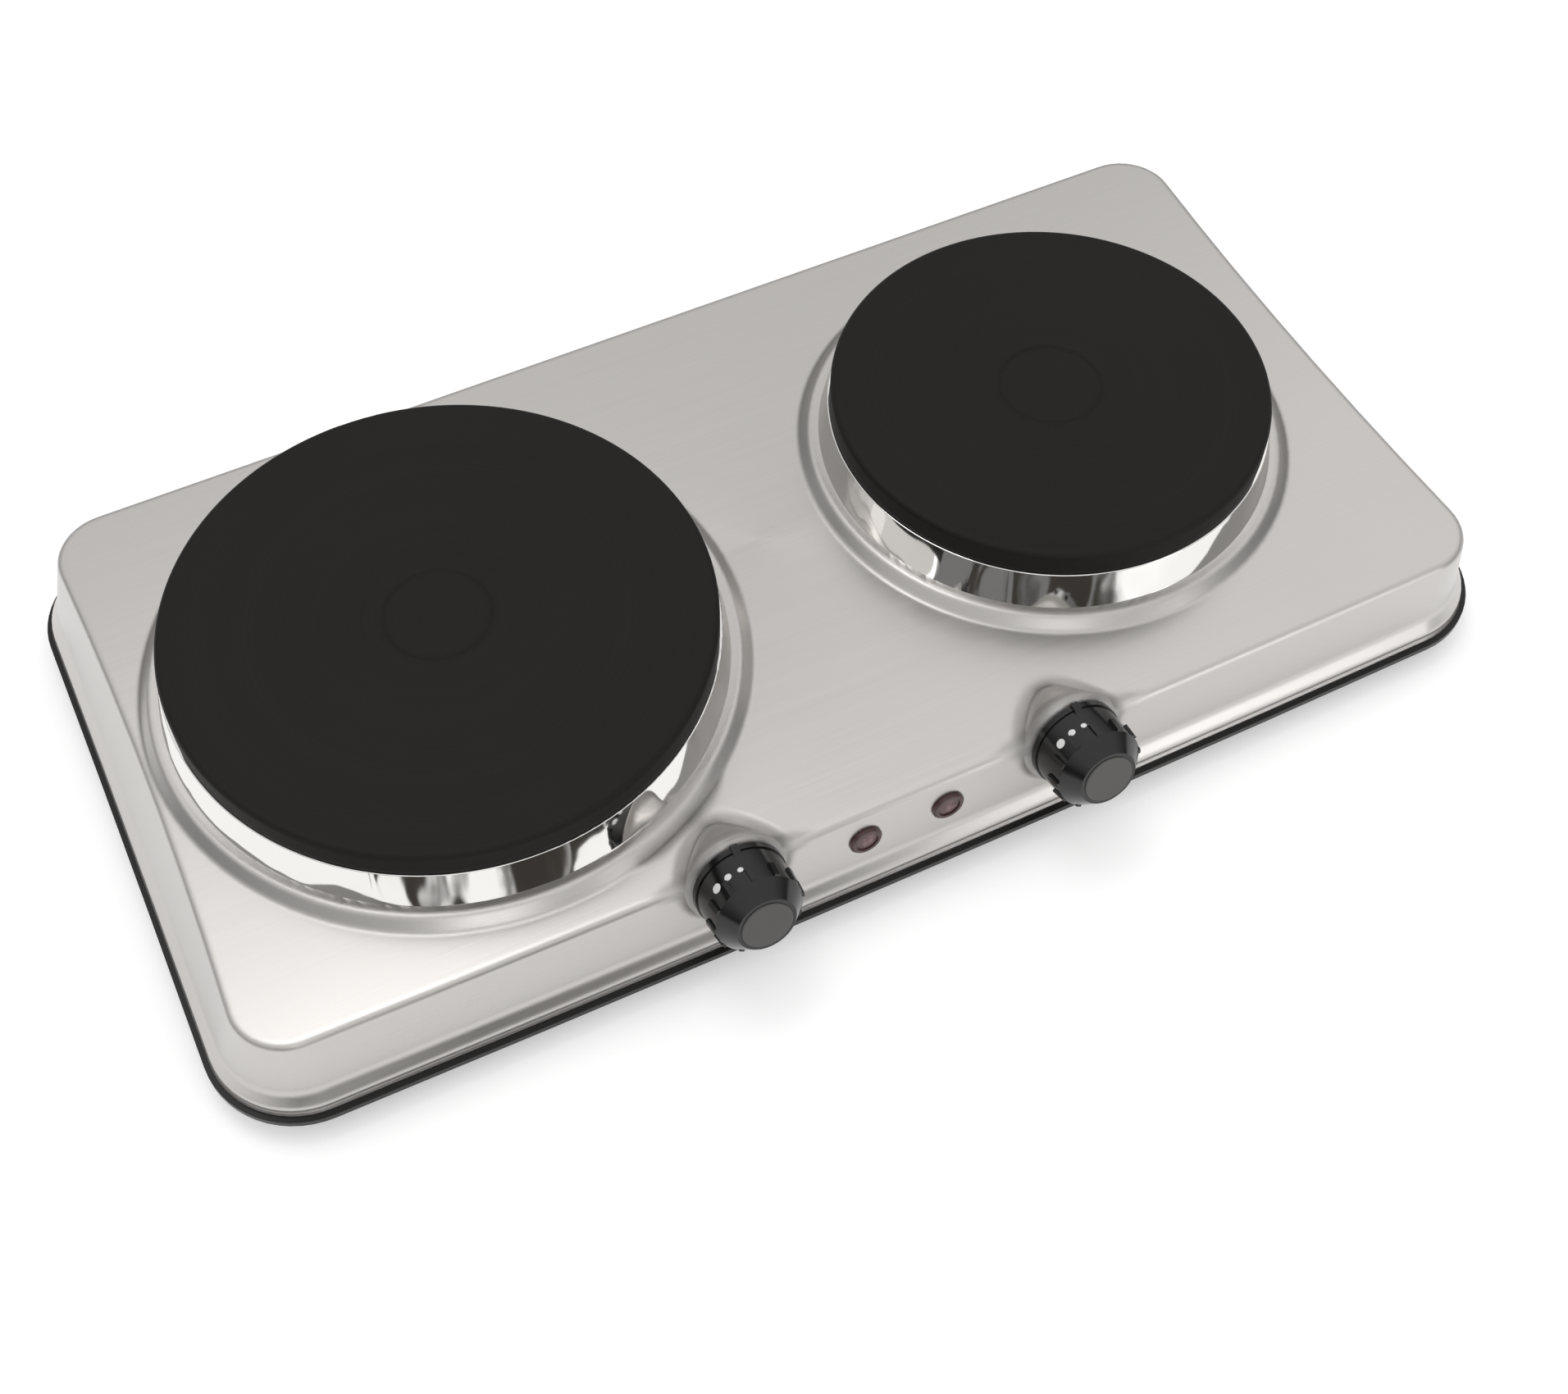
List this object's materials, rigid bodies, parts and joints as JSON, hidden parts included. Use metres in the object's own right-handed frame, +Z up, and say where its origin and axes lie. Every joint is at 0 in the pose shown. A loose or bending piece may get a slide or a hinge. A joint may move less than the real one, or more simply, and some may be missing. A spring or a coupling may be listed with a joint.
{
  "type": "double electric hot plate",
  "caption": "Table-top electric cooker: a brushed steel body with a large and a small cast-iron hot plate, turning heat knobs and indicator lamps on its sloping front.",
  "frame": {"origin": "on the table, under the middle of the whole box with its knobs", "axes": "+X to the right seen from the front, the front with the knobs faces -Y, +Z up"},
  "size_m": [0.4794, 0.267, 0.074],
  "materials": {
    "brushed_shell": "brushed stainless, warm grey",
    "black_pan": "black enamel, satin",
    "foot_rubber": "matte black",
    "cast_iron": "dark coated, finely turned",
    "polished_ring": "mirror polished",
    "knob_black": "glossy black",
    "cap_grey": "satin grey",
    "lens_mauve": "dull mauve, unlit",
    "grommet_rubber": "black",
    "block_white": "off-white ceramic or nylon",
    "switch_brown": "brown moulded",
    "lamp_white": "white",
    "element_sheath": "oxidised",
    "wire_brown": "brown insulation",
    "wire_blue": "blue insulation",
    "wire_green": "green and yellow insulation",
    "zinc_steel": "zinc plated",
    "plain_steel": "plain sheet steel"
  },
  "bodies": {
    "body": {"base_pan": "black_pan", "base_screws": "zinc_steel", "cord_grommet": "grommet_rubber", "earth_lead": "wire_green", "earth_screw": "zinc_steel", "foot_front_left": "foot_rubber", "foot_front_right": "foot_rubber", "foot_rear_left": "foot_rubber", "foot_rear_right": "foot_rubber", "housing_posts": "plain_steel", "lamp_clips": "plain_steel", "large_centre_stud": "plain_steel", "large_clamp_bridge": "plain_steel", "large_heat_shield": "plain_steel", "large_heating_element": "element_sheath", "large_hotplate": "cast_iron", "large_stud_nut": "zinc_steel", "large_terminal_block": "block_white", "large_trim_ring": "polished_ring", "left_indicator_lamp": "lamp_white", "left_indicator_lens": "lens_mauve", "left_thermostat": "switch_brown", "left_thermostat_bracket": "plain_steel", "live_leads": "wire_brown", "mains_terminal_block": "block_white", "neutral_leads": "wire_blue", "right_indicator_lamp": "lamp_white", "right_indicator_lens": "lens_mauve", "right_thermostat": "switch_brown", "right_thermostat_bracket": "plain_steel", "small_centre_stud": "plain_steel", "small_clamp_bridge": "plain_steel", "small_heat_shield": "plain_steel", "small_heating_element": "element_sheath", "small_hotplate": "cast_iron", "small_stud_nut": "zinc_steel", "small_terminal_block": "block_white", "small_trim_ring": "polished_ring", "switched_leads": "wire_brown", "terminal_screws": "zinc_steel", "thermostat_screws": "zinc_steel", "top_housing": "brushed_shell"},
    "left_control": {"left_knob": "knob_black", "left_knob_cap": "cap_grey", "left_spindle": "plain_steel"},
    "right_control": {"right_knob": "knob_black", "right_knob_cap": "cap_grey", "right_spindle": "plain_steel"}
  },
  "joints": [
    {"name": "left_knob_turn", "type": "hinge", "parent": "body", "child": "left_control", "pos_m": [-0.065, -0.10947, 0.042], "axis": [0, -0.9659, 0.2588], "range_deg": [-270, 0]},
    {"name": "right_knob_turn", "type": "hinge", "parent": "body", "child": "right_control", "pos_m": [0.058, -0.10947, 0.042], "axis": [0, -0.9659, 0.2588], "range_deg": [-270, 0]}
  ]
}
